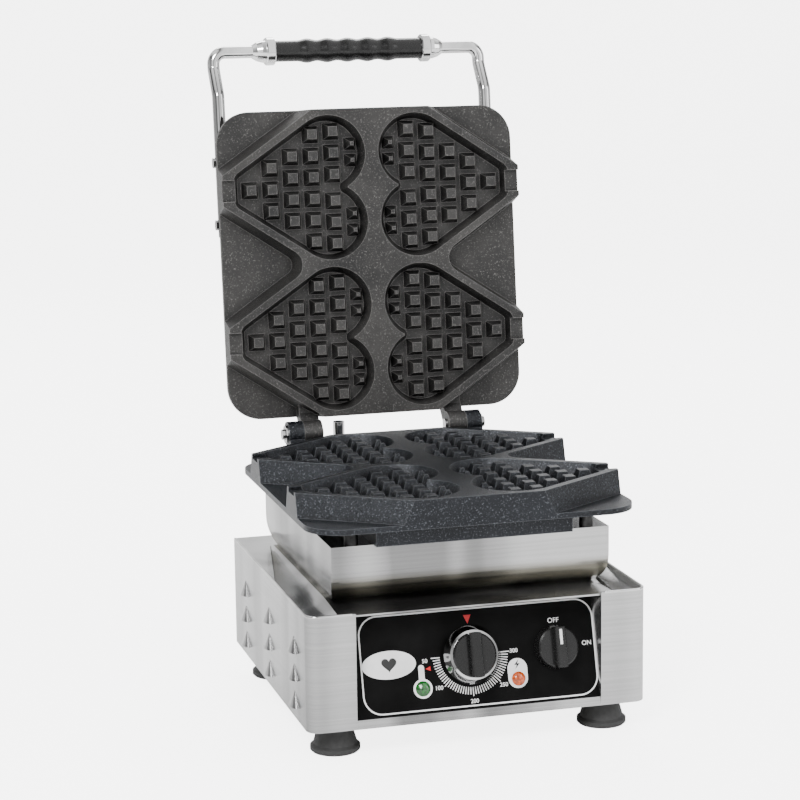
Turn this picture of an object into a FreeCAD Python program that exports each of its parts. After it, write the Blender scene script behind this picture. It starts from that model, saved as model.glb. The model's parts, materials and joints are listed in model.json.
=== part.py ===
import FreeCAD, Part
import Sketcher
import math
import os

# Double waffle baker: a sheet metal base, a fixed lower heart plate and a hinged upper one.
# Machine frame: +X right, +Y back with zero at the base front, +Z up with zero at the feet.

V = FreeCAD.Vector
Rotation = FreeCAD.Rotation
Placement = FreeCAD.Placement

doc = FreeCAD.newDocument("WaffleMaker")
sheet = doc.addObject("Spreadsheet::Sheet", "Sizes")

SIZES = [
    ("base_width", 305.0), ("base_depth", 295.0), ("shell_height", 102.0),
    ("foot_height", 26.0), ("foot_radius", 21.8), ("foot_inset", 32.0), ("foot_side", 30.5),
    ("shell_thick", 2.0), ("sheet_thick", 1.5), ("corner_radius", 11.0), ("post_width", 40.5),
    ("panel_tilt", 16.0), ("lip_height", 6.0), ("seam_step", 1.5), ("skirt_half", 124.0),
    ("skirt_ledge", 35.0), ("skirt_sink", 8.0), ("deck_front", 127.0),
    ("housing_width", 250.0), ("housing_length", 254.0), ("housing_depth", 51.6),
    ("lid_housing_depth", 44.0), ("housing_round", 28.0), ("housing_taper", 5.0),
    ("housing_centre", 149.0), ("plate_centre", 144.2), ("plate_size", 294.0),
    ("slab_thick", 5.0), ("slab_corner", 32.0), ("block_height", 20.7), ("block_draft", 5.5),
    ("standoff", 16.0), ("body_half", 88.0), ("plate_gap", 0.6), ("hinge_offset", 14.2),
    ("cavity_depth", 11.0), ("cavity_draft", 5.2), ("heart_line", 72.3), ("lobe_radius", 36.5),
    ("peg_pitch", 20.4), ("peg_base", 16.5), ("peg_top", 9.0),
    ("lean", 6.34), ("knuckle_radius", 12.0), ("pin_radius", 5.0), ("pin_clearance", 0.06),
    ("knuckle_start", 63.0), ("knuckle_width", 18.0), ("outer_knuckle_width", 14.7),
    ("side_gap", 0.35),
    ("handle_radius", 6.0), ("arm_half", 134.8), ("arm_back", 61.0), ("arm_start", 190.0),
    ("grip_back", 77.0), ("grip_reach", 60.7), ("grip_half", 74.1), ("collar_radius", 13.5),
    ("conduit_radius", 5.5), ("conduit_x", -42.0), ("conduit_out", 22.0), ("conduit_drop", 7.0),
    ("thermostat_x", -4.5), ("knob_level", 52.5), ("knob_gap", 0.6), ("bezel_radius", 25.5),
    ("switch_x", 73.0), ("switch_radius", 19.2), ("shaft_radius", 3.0), ("shaft_clearance", 0.05),
]
for row, (name, value) in enumerate(SIZES):
    cell = "A%d" % (row + 1)
    sheet.set(cell, str(value))
    sheet.setAlias(cell, name)
doc.recompute()


def size(name):
    return float(sheet.get(name))


def ex(text):
    """Turns a formula in plain size names into one that reads the sheet."""
    for name in sorted((entry[0] for entry in SIZES), key=len, reverse=True):
        text = text.replace("{%s}" % name, "Sizes.%s" % name)
    return text


shell_top = size("foot_height") + size("shell_height")
seam = shell_top + size("seam_step")
deck = seam + size("housing_depth")
slab_under = deck + size("standoff")
face_level = slab_under + size("slab_thick") + size("block_height")
hinge_z = face_level + size("plate_gap") / 2
half_plate = size("plate_size") / 2
hinge_y = size("plate_centre") + half_plate + size("hinge_offset")
plate_back = size("plate_gap") / 2 + size("block_height") + size("slab_thick")
plate_mid = size("hinge_offset") + half_plate
housing_mid = hinge_y - size("housing_centre")
floor_top = size("foot_height") + size("sheet_thick")
shell_in = size("base_width") / 2 - size("shell_thick")
alcove_half = size("base_width") / 2 - size("post_width") - size("shell_thick")
grip_q = size("hinge_offset") + size("plate_size") + size("grip_reach")
knob_height = 22.0
lean_angle = math.radians(size("lean"))
tilt_angle = math.radians(size("panel_tilt"))
knob_front = (size("sheet_thick") + size("knob_level") * math.sin(tilt_angle)
              - (knob_height + size("knob_gap")) * math.cos(tilt_angle) - 3.0)
grip_rear = (hinge_y + (size("grip_back") + size("collar_radius")) * math.cos(lean_angle)
             + grip_q * math.sin(lean_angle))
plan_shift = -(knob_front + grip_rear) / 2

AT_BASE = Placement(V(0, plan_shift, 0), Rotation())
AT_PANEL = Placement(V(0, plan_shift + size("sheet_thick"), floor_top),
                     Rotation(V(1, 0, 0), -size("panel_tilt")))
AT_LID = Placement(V(0, plan_shift + hinge_y, hinge_z), Rotation(V(1, 0, 0), -size("lean")))
AT_LOWER = Placement(V(0, plan_shift + hinge_y, hinge_z), Rotation(V(0, 1, -1), 180))

nodes = []


def keep(item, label, place):
    item.Label = label
    item.Placement = place
    nodes.append(item)
    return item


def new_body(label, place):
    return keep(doc.addObject("PartDesign::Body", label), label, place)


def plane_of(body, role):
    return [item for item in body.Origin.OriginFeatures if item.Role == role][0]


def outline(body, name, role, points):
    """A closed polygon whose corners are pairs of formulas measured from the plane's origin."""
    sketch = body.newObject("Sketcher::SketchObject", name)
    sketch.AttachmentSupport = [(plane_of(body, role), "")]
    sketch.MapMode = "FlatFace"
    count = len(points)
    spots = [V(50 * math.cos(2 * math.pi * i / count + 0.3), 50 * math.sin(2 * math.pi * i / count + 0.3), 0)
             for i in range(count)]
    for i in range(count):
        sketch.addGeometry(Part.LineSegment(spots[i], spots[(i + 1) % count]), False)
    for i in range(count):
        sketch.addConstraint(Sketcher.Constraint("Coincident", i, 2, (i + 1) % count, 1))
    for i, (across, along) in enumerate(points):
        for kind, formula, start in (("DistanceX", across, spots[i].x), ("DistanceY", along, spots[i].y)):
            index = sketch.addConstraint(Sketcher.Constraint(kind, -1, 1, i, 1, start))
            sketch.setExpression("Constraints[%d]" % index, ex(formula))
    return sketch


def hole_sketch(body, name, role, circles):
    """Circles given as centre formulas and a radius formula."""
    sketch = body.newObject("Sketcher::SketchObject", name)
    sketch.AttachmentSupport = [(plane_of(body, role), "")]
    sketch.MapMode = "FlatFace"
    for i, (across, along, radius) in enumerate(circles):
        sketch.addGeometry(Part.Circle(V(10 * i + 5, 7, 0), V(0, 0, 1), 3), False)
        for kind, formula, start in (("DistanceX", across, 10 * i + 5), ("DistanceY", along, 7)):
            index = sketch.addConstraint(Sketcher.Constraint(kind, -1, 1, i, 3, start))
            sketch.setExpression("Constraints[%d]" % index, ex(formula))
        index = sketch.addConstraint(Sketcher.Constraint("Radius", i, 3))
        sketch.setExpression("Constraints[%d]" % index, ex(radius))
    return sketch


def pad(body, sketch, length, middle=False, reverse=False):
    item = body.newObject("PartDesign::Pad", sketch.Name + "_pad")
    item.Profile = sketch
    item.setExpression("Length", ex(length))
    item.Midplane = middle
    item.Reversed = reverse
    return item


def pocket(body, sketch):
    item = body.newObject("PartDesign::Pocket", sketch.Name + "_cut")
    item.Profile = sketch
    item.Type = "ThroughAll"
    item.Midplane = True
    return item


def slab_body(label, place, points, low, thick):
    """A level plate cut from an outline, from the height low up by thick."""
    body = new_body(label, place)
    sketch = outline(body, label + "_outline", "XY_Plane", points)
    sketch.setExpression("AttachmentOffset.Base.z", ex(low))
    pad(body, sketch, thick)
    return body


def profile_body(label, place, points, width):
    """A folded sheet of one profile across the machine, centred on x = 0."""
    body = new_body(label, place)
    sketch = outline(body, label + "_profile", "YZ_Plane", points)
    pad(body, sketch, width, middle=True)
    return body


def feature(label, place, shape):
    item = doc.addObject("Part::Feature", label)
    item.Shape = shape
    return keep(item, label, place.multiply(shape.Placement))


def fused(shapes):
    first = shapes[0]
    return first if len(shapes) == 1 else first.fuse(shapes[1:]).removeSplitter()


def grouped(shapes):
    return Part.makeCompound(shapes)


def box(x0, x1, y0, y1, z0, z1):
    return Part.makeBox(x1 - x0, y1 - y0, z1 - z0, V(x0, y0, z0))


def rod(start, end, radius):
    return Part.makeCylinder(radius, start.distanceToPoint(end), start, end - start)


def across(x0, x1, y, z, radius):
    return rod(V(x0, y, z), V(x1, y, z), radius)


def extruded(points, direction):
    wire = Part.makePolygon([V(*p) for p in points + points[:1]])
    return Part.Face(wire).extrude(direction)


def both_sides(shape):
    return [shape, shape.mirror(V(0, 0, 0), V(1, 0, 0))]


# ---- base: shell, floor, rear panel, deck and skirts -------------------------------------

def plan_outline(half, front, back, radius):
    """A plan outline with its two front corners rounded."""
    a = radius * (1 - math.sqrt(0.5))
    edges = [
        Part.LineSegment(V(-half + radius, front, 0), V(half - radius, front, 0)),
        Part.Arc(V(half - radius, front, 0), V(half - a, front + a, 0), V(half, front + radius, 0)),
        Part.LineSegment(V(half, front + radius, 0), V(half, back, 0)),
        Part.LineSegment(V(half, back, 0), V(-half, back, 0)),
        Part.LineSegment(V(-half, back, 0), V(-half, front + radius, 0)),
        Part.Arc(V(-half, front + radius, 0), V(-half + a, front + a, 0), V(-half + radius, front, 0)),
    ]
    return Part.Face(Part.Wire([edge.toShape() for edge in edges]))


def louvre_places():
    rows = [0.65, 0.41, 0.17]
    columns = [0.17, 0.5, 0.83]
    return [(size("base_depth") * c, size("foot_height") + size("shell_height") * r)
            for r in rows for c in columns]


def louvre(y, z, hollow):
    """A pressed half-cone hood on the right wall, open underneath."""
    wall = size("base_width") / 2
    shrink = 1.2 if hollow else 0.0
    squash = 0.5
    cone = Part.makeCone(0.5, 11.0 - shrink, 13.0, V(0, 0, 0), V(0, 0, -1))
    cone = cone.transformGeometry(FreeCAD.Matrix(squash, 0, 0, 0, 0, 1, 0, 0, 0, 0, 1, 0, 0, 0, 0, 1))
    cone.translate(V(wall, y, z + 6.5 - shrink))
    if hollow:
        return cone
    return cone.common(box(wall - 0.5, wall + 8, y - 15, y + 15, z - 6.5, z + 8))


def side_shape():
    """The right-hand side of the base: wall, rounded post, alcove return and louvres."""
    half = size("base_width") / 2
    low, tall = size("foot_height"), size("shell_height")
    thick = size("shell_thick")
    outer = plan_outline(half, 0, size("base_depth"), size("corner_radius")).extrude(V(0, 0, tall))
    inner = plan_outline(shell_in, thick, size("base_depth") + 5,
                         size("corner_radius") - thick).extrude(V(0, 0, tall))
    shell = outer.cut(inner).common(box(alcove_half, half + 1, -1, size("base_depth") + 1, -1, tall + 1))
    shell = shell.fuse(box(alcove_half, alcove_half + thick, 1.0, 40.0, 0, tall - 3.6))
    shell.translate(V(0, 0, low))
    hoods = [louvre(y, z, False) for y, z in louvre_places()]
    holes = [louvre(y, z, True) for y, z in louvre_places()]
    return shell.fuse(hoods).cut(holes).removeSplitter()


right_side = side_shape()
feature("right_side", AT_BASE, right_side)
feature("left_side", AT_BASE, right_side.mirror(V(0, 0, 0), V(1, 0, 0)))

ALCOVE = "{base_width}/2-{post_width}-{shell_thick}"
INSIDE = "{base_width}/2-{shell_thick}"
CORNER = "{corner_radius}+1"
floor_points = [
    ("-(" + ALCOVE + ")", "{sheet_thick}"), (ALCOVE, "{sheet_thick}"), (ALCOVE, "40"),
    (ALCOVE + "+{shell_thick}", "40"), (ALCOVE + "+{shell_thick}", CORNER), (INSIDE, CORNER),
    (INSIDE, "{base_depth}-{sheet_thick}"), ("-(" + INSIDE + ")", "{base_depth}-{sheet_thick}"),
    ("-(" + INSIDE + ")", CORNER), ("-(" + ALCOVE + ")-{shell_thick}", CORNER),
    ("-(" + ALCOVE + ")-{shell_thick}", "40"), ("-(" + ALCOVE + ")", "40"),
]
slab_body("base_floor", AT_BASE, floor_points, "{foot_height}", "{sheet_thick}")

rear = new_body("rear_panel", AT_BASE)
rear_face = outline(rear, "rear_outline", "XZ_Plane", [
    ("-{base_width}/2+{shell_thick}", "{foot_height}"),
    ("{base_width}/2-{shell_thick}", "{foot_height}"),
    ("{base_width}/2-{shell_thick}", "{foot_height}+{shell_height}-{sheet_thick}"),
    ("-{base_width}/2+{shell_thick}", "{foot_height}+{shell_height}-{sheet_thick}"),
])
rear_face.setExpression("AttachmentOffset.Base.z", ex("-{base_depth}"))
pad(rear, rear_face, "{sheet_thick}")
pocket(rear, hole_sketch(rear, "rear_holes", "XZ_Plane", [
    ("60", "62", "8"), ("{conduit_x}", "90", "{conduit_radius}")]))

deck_points = [
    ("-{base_width}/2+{shell_thick}", "{deck_front}+2"),
    ("-{skirt_half}-2.6", "{housing_centre}+{housing_length}/2-23.5"),
    ("{skirt_half}+2.6", "{housing_centre}+{housing_length}/2-23.5"),
    ("{base_width}/2-{shell_thick}", "{deck_front}+2"),
    ("{base_width}/2-{shell_thick}", "{base_depth}"),
    ("-{base_width}/2+{shell_thick}", "{base_depth}"),
]
slab_body("rear_deck", AT_BASE, deck_points, "{foot_height}+{shell_height}-{sheet_thick}", "{sheet_thick}")

ledge_top = shell_top - 2.0
LEDGE = "{foot_height}+{shell_height}-2"
SEAM = "{foot_height}+{shell_height}+{seam_step}"
profile_body("front_skirt", AT_BASE, [
    ("3", LEDGE), ("3+{skirt_ledge}", LEDGE), ("3+{skirt_ledge}+10", LEDGE + "+1"),
    ("3+{skirt_ledge}+16", SEAM), ("3+{skirt_ledge}+28", SEAM),
    ("3+{skirt_ledge}+28", SEAM + "-{sheet_thick}"),
    ("3+{skirt_ledge}+17", SEAM + "-{sheet_thick}"),
    ("3+{skirt_ledge}+10.5", LEDGE + "+1-{sheet_thick}"),
    ("3+{skirt_ledge}", LEDGE + "-{sheet_thick}"), ("3", LEDGE + "-{sheet_thick}"),
], "2*{skirt_half}")


def side_skirt():
    """The right-hand flare: a lofted sheet from the seam down to the inside of the shell rim."""
    near = size("skirt_half")
    seam_y = 3 + size("skirt_ledge") + 16
    rear_y = size("housing_centre") + size("housing_length") / 2 - 24.2
    sink = size("skirt_sink")
    rows = [
        (size("shell_thick") + 1.0, shell_in, ledge_top, shell_top - sink),
        (seam_y, shell_in, seam, shell_top - sink + 1.0),
        (size("deck_front") - 0.2, shell_in, seam, shell_top),
        (rear_y, near + 2.0, seam, shell_top),
    ]
    curves = []
    for y, far, high, low in rows:
        middle = V((near + far) / 2, y, (high + low) / 2 - 0.12 * (far - near) * (1 if y < 200 else 0.2))
        curves.append(Part.Wire([Part.Arc(V(near, y, high), middle, V(far, y, low)).toShape()]))
    sheets = [Part.makeLoft(curves[i:i + 2], False, True) for i in range(3)]
    solids = [part.Faces[0].extrude(V(0, 0, -size("sheet_thick"))) for part in sheets]
    flange = box(near - 12, near, seam_y + 14, rear_y, seam - size("sheet_thick"), seam)
    solid = solids[0].fuse(solids[1:] + [flange])
    front_corner = plan_outline(shell_in, size("shell_thick"), size("base_depth"),
                                size("corner_radius") - size("shell_thick"))
    return solid.common(front_corner.extrude(V(0, 0, 400)))


flare = side_skirt()
feature("right_skirt", AT_BASE, flare)
feature("left_skirt", AT_BASE, flare.mirror(V(0, 0, 0), V(1, 0, 0)))


# ---- feet, with the screws that hold them to the floor -----------------------------------

foot_places = {
    "foot_front_left": (-1, size("foot_inset")), "foot_front_right": (1, size("foot_inset")),
    "foot_rear_left": (-1, size("base_depth") - size("foot_inset")),
    "foot_rear_right": (1, size("base_depth") - size("foot_inset")),
}
foot_x = size("base_width") / 2 - size("foot_side")
foot_screws = []
for name, (side, y) in foot_places.items():
    r, tall = size("foot_radius"), size("foot_height")
    profile = [(0, 0), (r - 1.5, 0), (r, 1.5), (r, 5.0), (r - 2.5, 7.0), (r - 6.0, tall - 7.0),
               (r - 6.0, tall), (0, tall)]
    face = Part.Face(Part.makePolygon([V(x, 0, z) for x, z in profile] + [V(0, 0, 0)]))
    foot = face.revolve(V(0, 0, 0), V(0, 0, 1), 360)
    foot = foot.cut(rod(V(0, 0, tall - 12), V(0, 0, tall + 1), 2.5))
    foot.translate(V(side * foot_x, y, 0))
    feature(name, AT_BASE, foot)
    screw_foot = V(side * foot_x, y, tall - 12)
    foot_screws.append(rod(screw_foot, V(side * foot_x, y, floor_top + 3), 2.5))

floor_cut = doc.getObject("base_floor")
screw_radius = "2.5"
pocket(floor_cut, hole_sketch(floor_cut, "floor_holes", "XY_Plane", [
    ("-{base_width}/2+{foot_side}", "{foot_inset}", screw_radius),
    ("{base_width}/2-{foot_side}", "{foot_inset}", screw_radius),
    ("-{base_width}/2+{foot_side}", "{base_depth}-{foot_inset}", screw_radius),
    ("{base_width}/2-{foot_side}", "{base_depth}-{foot_inset}", screw_radius),
]))
feature("foot_screws", AT_BASE, grouped(foot_screws))


# ---- heart plates: one casting drawn once in its own frame, slab underside at zero -------

SIDE_SLOPE = math.radians(33.7)
LOBE_U, LOBE_W = 43.0, size("lobe_radius") - 4.1
NOTCH_ROUND, TIP_ROUND, TIP_U = 1.0, 10.0, 136.0


def heart_wire(inset, level):
    """A heart, tip towards +u, drawn with tangent arcs and moved inwards by inset."""
    n = V(math.sin(SIDE_SLOPE), math.cos(SIDE_SLOPE), 0)
    lobe = V(LOBE_U, LOBE_W, 0)
    reach = size("lobe_radius") + NOTCH_ROUND
    notch = V(LOBE_U - math.sqrt(reach ** 2 - LOBE_W ** 2), 0, 0)
    radius = size("lobe_radius") - inset
    to_lobe = (lobe - notch).normalize()
    notch_end = notch + to_lobe * (NOTCH_ROUND + inset)
    notch_mid = notch + V(NOTCH_ROUND + inset, 0, 0)
    side_start = lobe + n * radius
    lobe_mid = lobe + V(-0.8, 0.6, 0) * radius
    tip_u = TIP_U - TIP_ROUND
    tip_w = (n.dot(lobe) + size("lobe_radius") - TIP_ROUND - n.x * tip_u) / n.y
    tip = V(tip_u, tip_w, 0)
    corner = TIP_ROUND - inset
    side_end = tip + n * corner
    half_turn = math.radians(45 - 33.7 / 2)
    corner_mid = tip + V(math.cos(half_turn), math.sin(half_turn), 0) * corner
    corner_end = tip + V(corner, 0, 0)

    def low(point):
        return V(point.x, -point.y, 0)

    edges = [
        Part.Arc(notch_end, notch_mid, low(notch_end)),
        Part.Arc(low(notch_end), low(lobe_mid), low(side_start)),
        Part.LineSegment(low(side_start), low(side_end)),
        Part.Arc(low(side_end), low(corner_mid), low(corner_end)),
        Part.LineSegment(low(corner_end), corner_end),
        Part.Arc(corner_end, corner_mid, side_end),
        Part.LineSegment(side_end, side_start),
        Part.Arc(side_start, lobe_mid, notch_end),
    ]
    wire = Part.Wire([edge.toShape() for edge in edges])
    wire.translate(V(0, 0, level))
    return wire


def square(half, level):
    return Part.makePolygon([V(-half, -half, level), V(half, -half, level), V(half, half, level),
                             V(-half, half, level), V(-half, -half, level)])


def peg(base, top, low, high):
    return Part.makeLoft([square(base / 2, low), square(top / 2, high)], True, True)


def heart_tool():
    """The space of one heart: its cavity, less the pegs that stand in it, plus the stick notch."""
    top = size("slab_thick") + size("block_height")
    floor = top - size("cavity_depth")
    over = 0.5
    rate = size("cavity_draft") / size("cavity_depth")
    space = Part.makeLoft([heart_wire(-over * rate, top + over), heart_wire(size("cavity_draft"), floor)],
                          True, True)
    pitch = size("peg_pitch")
    columns = [
        (0, [0]), (1, [-1, 0, 1]), (2, [-1.5, -0.5, 0.5, 1.5]), (3, [-2.5, -1.5, -0.5, 0.5, 1.5, 2.5]),
        (4, [-2.62, -1.62, -0.62, 0.62, 1.62, 2.62]),
    ]
    big = peg(size("peg_base"), size("peg_top"), floor - 0.5, top - 1.0)
    small = peg(size("peg_base") - 4.0, size("peg_top") - 5.5, floor - 0.5, top - 1.0)
    pegs = []
    for column, offsets in columns:
        for offset in offsets:
            copy = big.copy()
            copy.translate(V(119.0 - pitch * column, offset * pitch, 0))
            pegs.append(copy)
    for offset in (-2.02, -1.25, 1.25, 2.02):
        copy = small.copy()
        copy.translate(V(119.0 - pitch * 4.9, offset * pitch, 0))
        pegs.append(copy)
    space = space.cut(pegs)
    notch = box(TIP_U - 6, half_plate + 1, -10.2, 10.2, top - 4.0, top + over)
    return space.fuse(notch)


def block_wire(outset, level):
    """The raised block seen from above: four tips joined at the middle, drawn round one turn."""
    line = size("heart_line")
    slope = 0.672
    shift = outset / math.cos(math.atan(slope))
    near = half_plate
    tip_half = 14.6 + shift
    start_u = near - (near - line - tip_half) / slope
    apex_half = math.atan(slope)
    centre_u = 88.0
    valley = centre_u - (near - (line - tip_half) / slope)
    radius = valley * math.sin(apex_half)
    touch = V(centre_u - radius * math.sin(apex_half), radius * math.cos(apex_half), 0)
    bottom = V(centre_u - radius, 0, 0)
    right = [V(start_u, near, 0), V(near, line + tip_half, 0), V(near, line - tip_half, 0), touch]

    def turn(point, a, b):
        return V(a * point.x, b * point.y, level)

    def line_of(p, q):
        return Part.LineSegment(p, q).toShape()

    edges = []
    for a, order in ((1, 1), (-1, -1)):
        up = [turn(p, a, order) for p in right]
        down = [turn(p, a, -order) for p in reversed(right)]
        edges += [line_of(up[i], up[i + 1]) for i in range(3)]
        edges.append(Part.Arc(up[3], turn(bottom, a, 1), down[0]).toShape())
        edges += [line_of(down[i], down[i + 1]) for i in range(3)]
        edges.append(line_of(down[3], turn(right[0], -a, -order)))
    return Part.Wire(edges)


def rounded_slab():
    slab = box(-half_plate, half_plate, -half_plate, half_plate, 0, size("slab_thick"))
    posts = [edge for edge in slab.Edges if abs(edge.Vertexes[0].Z - edge.Vertexes[1].Z) > 1]
    return slab.makeFillet(size("slab_corner"), posts)


def lug(inner, outer):
    """A pair of hinge lugs in the hinge frame: knuckles round the X axis and necks to the slab."""
    back = plate_back
    face = back - size("slab_thick")
    reach = size("hinge_offset")
    r = size("knuckle_radius")
    neck = extruded([
        (inner, face + 0.5, reach + 30), (inner, face + 0.5, reach), (inner, r - 0.3, 2.0),
        (inner, 0, 0), (inner, 3.0, 11.0), (inner, 9.0, reach + 5), (inner, face - 4.0, reach + 30),
    ], V(outer - inner, 0, 0))
    knuckle = across(inner, outer, 0, 0, r)
    return both_sides(neck.fuse(knuckle))


def plate_shape(inner, outer, bore):
    """A whole plate in the hinge frame: X along the hinge, Y out of the back, Z along the plate."""
    top = size("slab_thick") + size("block_height")
    body = rounded_slab()
    block = Part.makeLoft([block_wire(size("block_draft"), size("slab_thick") - 0.001),
                           block_wire(0, top)], True, True)
    under = size("standoff")
    half = size("body_half")
    long = half_plate - 15
    belly = box(-half, half, -long, long, -under, 0.001)
    recess = box(-half + 10, half - 10, -long + 12, long - 12, -under - 1, -under + 10)
    body = body.fuse([block, belly]).cut(recess)
    tool = heart_tool()
    tools = []
    for turned in (0, 180):
        for side in (-1, 1):
            copy = tool.copy()
            copy.rotate(V(0, 0, 0), V(0, 0, 1), turned)
            copy.translate(V(0, side * size("heart_line"), 0))
            tools.append(copy)
    body = body.cut(tools)
    body.rotate(V(0, 0, 0), V(1, 0, 0), 90)
    body.translate(V(0, plate_back, plate_mid))
    body = body.fuse(lug(inner, outer))
    return body.cut(across(-200, 200, 0, 0, bore)).removeSplitter()


inner_start = size("knuckle_start")
inner_end = inner_start + size("knuckle_width")
outer_start = inner_end + size("side_gap")
outer_end = outer_start + size("outer_knuckle_width")
feature("lower_plate", AT_LOWER, plate_shape(outer_start, outer_end, size("pin_radius")))
feature("upper_plate", AT_LID, plate_shape(inner_start, inner_end, size("pin_radius") + size("pin_clearance")))

pin = across(inner_start - 2, outer_end, 0, 0, size("pin_radius"))
head = across(outer_end, outer_end + 2, 0, 0, size("pin_radius") + 3.5)
dome = across(outer_end + 2, outer_end + 5, 0, 0, size("pin_radius"))
feature("hinge_pins", AT_LOWER, grouped(both_sides(pin.fuse([head, dome]).removeSplitter())))


# ---- housings behind both plates, with heaters, insulation and spacers -------------------

rim_back = plate_back + size("standoff")


def tub_solid(depth, trim):
    """The outside of a housing, or its inside when trimmed by the sheet thickness."""
    width = size("housing_width") / 2 - trim
    long = size("housing_length") / 2 - trim
    near, far = rim_back + trim, rim_back + depth - trim
    r = size("housing_round") - trim
    a = r * (1 - math.sqrt(0.5))
    low, high = housing_mid - long, housing_mid + long
    edges = [
        Part.LineSegment(V(0, near, low), V(0, near, high)),
        Part.LineSegment(V(0, near, high), V(0, far - r, high)),
        Part.Arc(V(0, far - r, high), V(0, far - a, high - a), V(0, far, high - r)),
        Part.LineSegment(V(0, far, high - r), V(0, far, low + r)),
        Part.Arc(V(0, far, low + r), V(0, far - a, low + a), V(0, far - r, low)),
        Part.LineSegment(V(0, far - r, low), V(0, near, low)),
    ]
    side = Part.Face(Part.Wire([edge.toShape() for edge in edges]))
    side.translate(V(-200, 0, 0))
    long_way = side.extrude(V(400, 0, 0))
    bend = near + (far - near) * 0.58
    taper = size("housing_taper")
    mid_x, mid_y = width - taper * 0.27, bend + (far - bend) * 0.55
    edges = [
        Part.LineSegment(V(-width, near, 0), V(width, near, 0)),
        Part.LineSegment(V(width, near, 0), V(width, bend, 0)),
        Part.Arc(V(width, bend, 0), V(mid_x, mid_y, 0), V(width - taper, far, 0)),
        Part.LineSegment(V(width - taper, far, 0), V(-width + taper, far, 0)),
        Part.Arc(V(-width + taper, far, 0), V(-mid_x, mid_y, 0), V(-width, bend, 0)),
        Part.LineSegment(V(-width, bend, 0), V(-width, near, 0)),
    ]
    end = Part.Face(Part.Wire([edge.toShape() for edge in edges]))
    end.translate(V(0, 0, low - 5))
    return long_way.common(end.extrude(V(0, 0, high - low + 10)))


def tub(depth):
    shell = tub_solid(depth, 0).cut(tub_solid(depth, size("sheet_thick")))
    half = size("body_half") - 10
    long = half_plate - 30
    return shell.cut(box(-half, half, rim_back - 1, rim_back + 5, plate_mid - long, plate_mid + long))


def heater():
    """A tubular element folded into four runs, lying against the back of the casting."""
    level = rim_back - 10 + 4.0
    reach = half_plate - 54
    runs = [-60.0, -20.0, 20.0, 60.0]
    points, edges = [], []
    for i, x in enumerate(runs):
        ends = [V(x, level, plate_mid - reach), V(x, level, plate_mid + reach)]
        if i % 2:
            ends.reverse()
        if points:
            side = 1 if i % 2 else -1
            middle = V(x - 20, level, points[-1].z + side * 20)
            edges.append(Part.Arc(points[-1], middle, ends[0]).toShape())
        edges.append(Part.LineSegment(ends[0], ends[1]).toShape())
        points = ends
    start = V(runs[0], level, plate_mid - reach)
    ring = Part.Wire([Part.Circle(start, V(0, 0, 1), 4.0).toShape()])
    return Part.Wire(edges).makePipeShell([ring], True, True)


def spacer_set():
    places = [(side * 106.0, plate_mid + step * 116.0) for side in (-1, 1) for step in (-1, 1)]
    return [rod(V(x, plate_back, q), V(x, rim_back, q), 6.0) for x, q in places]


def insulation(label, place, depth):
    body = new_body(label, place)
    low, high = "%.3f" % (housing_mid - 96), "%.3f" % (housing_mid + 96)
    wide = "{housing_width}/2-25"
    sketch = outline(body, label + "_outline", "XZ_Plane", [
        ("-(" + wide + ")", low), (wide, low), (wide, high), ("-(" + wide + ")", high)])
    sketch.setExpression("AttachmentOffset.Base.z", ex("-(%.3f+%s-{sheet_thick})" % (rim_back, depth)))
    pad(body, sketch, depth + "-2*{sheet_thick}")
    return body


lid_tub = tub(size("lid_housing_depth"))
clamp_places = [size("arm_start") + 12, size("arm_start") + 72]
for q in clamp_places:
    lid_tub = lid_tub.cut(both_sides(across(110, 130, size("arm_back"), q, 2.5)))
feature("plate_housing", AT_LOWER, tub(size("housing_depth")))
feature("lid_housing", AT_LID, lid_tub)
feature("lower_heater", AT_LOWER, heater())
feature("upper_heater", AT_LID, heater())
feature("plate_spacers", AT_LOWER, grouped(spacer_set()))
feature("lid_spacers", AT_LID, grouped(spacer_set()))
insulation("lower_insulation", AT_LOWER, "{housing_depth}")
insulation("upper_insulation", AT_LID, "{lid_housing_depth}")


# ---- carrying handle of the lid ----------------------------------------------------------

arm_x, arm_p = size("arm_half"), size("arm_back")
tube_r = size("handle_radius")
bend_r = 12.0


def rounded_path(points, radius):
    """Straight runs joined by tangent arcs."""
    edges, start = [], points[0]
    for i in range(1, len(points) - 1):
        a = (points[i - 1] - points[i]).normalize()
        b = (points[i + 1] - points[i]).normalize()
        turn = a.getAngle(b)
        back = radius / math.tan(turn / 2)
        first, last = points[i] + a * back, points[i] + b * back
        centre_way = (a + b).normalize()
        middle = points[i] + centre_way * (radius / math.sin(turn / 2) - radius)
        edges.append(Part.LineSegment(start, first).toShape())
        edges.append(Part.Arc(first, middle, last).toShape())
        start = last
    edges.append(Part.LineSegment(start, points[-1]).toShape())
    return Part.Wire(edges)


def handle_points(side):
    low = size("grip_back")
    return [V(side * arm_x, arm_p, size("arm_start")), V(side * arm_x, arm_p, grip_q - 42),
            V(side * arm_x, low, grip_q - 16), V(side * arm_x, low, grip_q)]


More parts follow.
